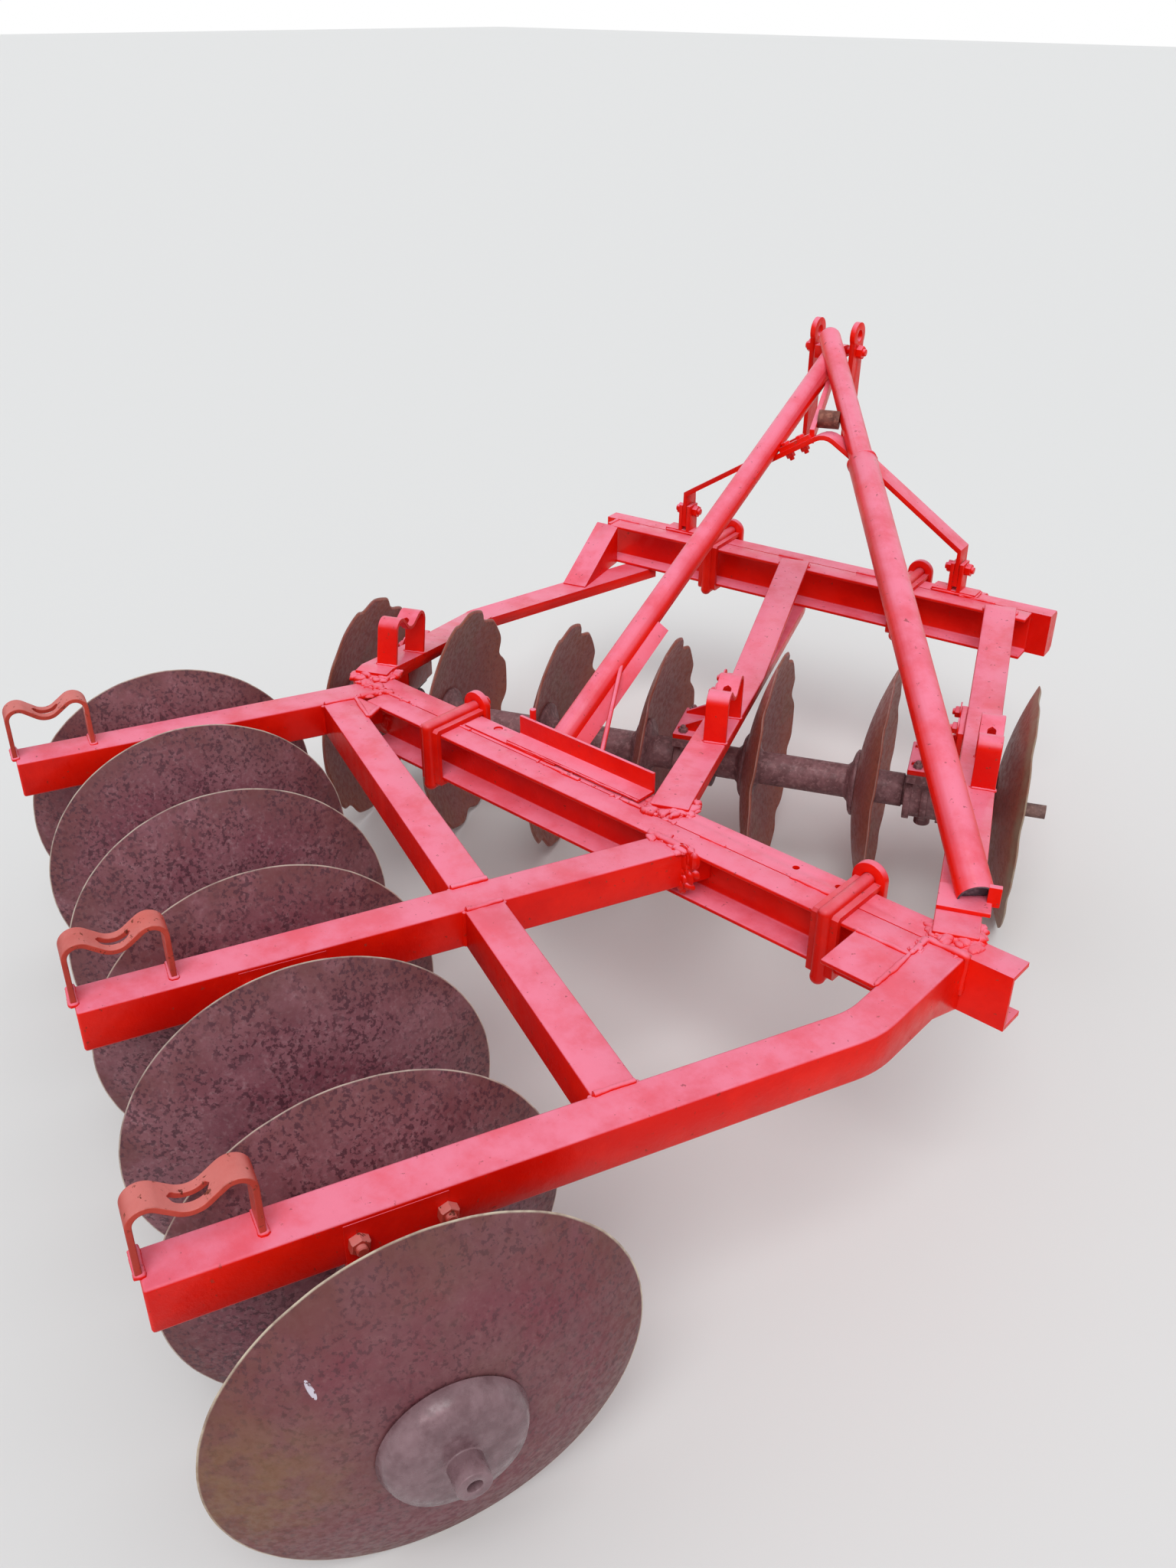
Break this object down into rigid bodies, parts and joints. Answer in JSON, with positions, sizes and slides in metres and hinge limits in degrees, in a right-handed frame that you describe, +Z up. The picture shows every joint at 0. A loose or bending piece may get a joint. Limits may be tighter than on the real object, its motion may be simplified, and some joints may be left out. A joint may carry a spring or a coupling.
{
  "type": "offset disc harrow",
  "caption": "Mounted offset disc harrow with a red welded channel frame, a plain rear gang, a notched front gang and a three-point linkage mast.",
  "frame": {"origin": "on the ground, under the middle of the machine's outline", "axes": "+X to the right seen from behind and along the mid beam, +Y forward towards the tractor, +Z up"},
  "size_m": [1.82, 2.5628, 1.0789],
  "materials": {
    "red_paint": "thick glossy red paint with rust at the edges",
    "rusty_disc_steel": "brown rust with bare worn rims",
    "rusty_cast_iron": "dull brown rust",
    "bare_rusty_steel": "rusty"
  },
  "bodies": {
    "root": {"mid_beam_front": "red_paint", "mid_beam_rear": "red_paint", "front_beam_rear": "red_paint", "hitch_box": "red_paint", "rear_arm_left": "red_paint", "rear_arm_middle": "red_paint", "rear_arm_right": "red_paint", "cross_brace": "red_paint", "corner_plate": "red_paint", "overhang_plate": "red_paint", "front_arm_left": "red_paint", "front_arm_middle": "red_paint", "front_arm_right": "red_paint", "saddles_rear": "red_paint", "saddles_front": "red_paint", "clamp_mid_left": "red_paint", "clamp_mid_right": "red_paint", "clamp_front_left": "red_paint", "clamp_front_right": "red_paint", "clamp_plates": "red_paint", "stay_left": "red_paint", "stay_right": "red_paint", "stay_foot": "red_paint", "mast_strap_left": "red_paint", "mast_strap_right": "red_paint", "strap_clevises": "red_paint", "mast_bolts": "red_paint", "yoke_arch": "red_paint", "yoke_bar": "red_paint", "yoke_pin": "bare_rusty_steel", "stay_rod": "red_paint", "angle_iron": "red_paint", "beam_plate": "red_paint", "lower_pin_left": "red_paint", "lower_pin_right": "red_paint", "rear_hangers": "red_paint", "front_hangers": "red_paint", "rear_bearings": "rusty_cast_iron", "front_bearings": "rusty_cast_iron"},
    "front_gang": {"front_axle": "rusty_cast_iron", "front_spools": "rusty_cast_iron", "front_end_washers": "rusty_cast_iron", "front_disc_1": "rusty_disc_steel", "front_disc_2": "rusty_disc_steel", "front_disc_3": "rusty_disc_steel", "front_disc_4": "rusty_disc_steel", "front_disc_5": "rusty_disc_steel", "front_disc_6": "rusty_disc_steel", "front_disc_7": "rusty_disc_steel"},
    "rear_gang": {"rear_axle": "rusty_cast_iron", "rear_spools": "rusty_cast_iron", "rear_end_washers": "rusty_cast_iron", "rear_disc_1": "rusty_disc_steel", "rear_disc_2": "rusty_disc_steel", "rear_disc_3": "rusty_disc_steel", "rear_disc_4": "rusty_disc_steel", "rear_disc_5": "rusty_disc_steel", "rear_disc_6": "rusty_disc_steel", "rear_disc_7": "rusty_disc_steel"}
  },
  "joints": [
    {"name": "front_gang_spin", "type": "hinge", "parent": "root", "child": "front_gang", "pos_m": [-0.19295, 0.40142, 0.2575], "axis": [0.9135, 0.4067, 0], "continuous": true},
    {"name": "rear_gang_spin", "type": "hinge", "parent": "root", "child": "rear_gang", "pos_m": [0.00405, -0.75058, 0.28], "axis": [0.9232, -0.3843, 0], "continuous": true}
  ]
}
